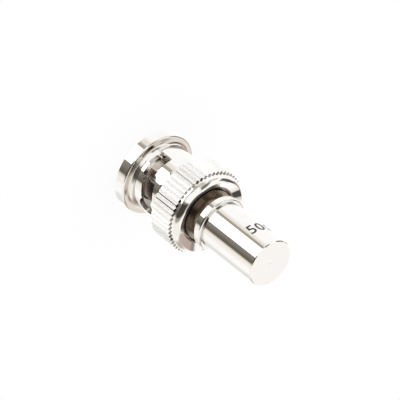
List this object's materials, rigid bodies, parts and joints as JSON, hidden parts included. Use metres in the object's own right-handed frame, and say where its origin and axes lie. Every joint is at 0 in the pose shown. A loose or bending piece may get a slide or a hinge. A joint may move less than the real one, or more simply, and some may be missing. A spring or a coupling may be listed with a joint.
{
  "type": "coaxial terminator",
  "caption": "Male bayonet coaxial terminator: knurled coupling nut with ramp slots, slotted outer contact, centre pin and a plain cylindrical cap holding the resistor.",
  "frame": {"origin": "centre of the coupling nut's front rim, on the plane that the part stands on with its mating end down", "axes": "+Z along the plug's axis from the mating end to the end cap; one of the nut's two lug grooves is centred on +X"},
  "size_m": [0.0144, 0.0144, 0.0291],
  "materials": {
    "nickel_plate": "bright nickel plate over brass",
    "gold_plate": "gold plate over brass",
    "bronze": "plain bronze",
    "spring_steel": "spring steel",
    "silicone_rubber": "matt",
    "ptfe": "waxy white",
    "ptfe_sleeve": "waxy white",
    "ceramic_core": "matt",
    "tinned_steel": "bright tin",
    "tinned_copper": "bright tin",
    "resistor_lacquer": "gloss lacquer",
    "solder": "bright solder"
  },
  "bodies": {
    "plug": {"wave_washer": "spring_steel", "flat_washer": "bronze", "retaining_ring": "spring_steel", "plug_body": "nickel_plate", "outer_contact": "nickel_plate", "face_gasket": "silicone_rubber", "front_insulator": "ptfe", "pin_bead": "ptfe", "centre_pin": "gold_plate", "resistor_core": "ceramic_core", "resistor_cap_front": "tinned_steel", "resistor_cap_rear": "tinned_steel", "resistor_lead_front": "tinned_copper", "resistor_lead_rear": "tinned_copper", "resistor_coating": "resistor_lacquer", "insulating_sleeve": "ptfe_sleeve", "ground_disc": "bronze", "solder_front": "solder", "solder_rear": "solder", "end_cap": "nickel_plate"},
    "spring_seat": {"thrust_washer": "bronze"},
    "nut": {"coupling_nut": "nickel_plate"}
  },
  "joints": [
    {"name": "nut_travel", "type": "slide", "parent": "plug", "child": "spring_seat", "axis": [0, 0, -1], "range_m": [0, 0.0005], "stiffness_N_per_m": 15000, "springref_m": -0.00027, "deforming": ["wave_washer"]},
    {"name": "nut_turn", "type": "hinge", "parent": "spring_seat", "child": "nut", "pos_m": [0, 0, 0], "axis": [0, 0, 1], "continuous": true}
  ]
}
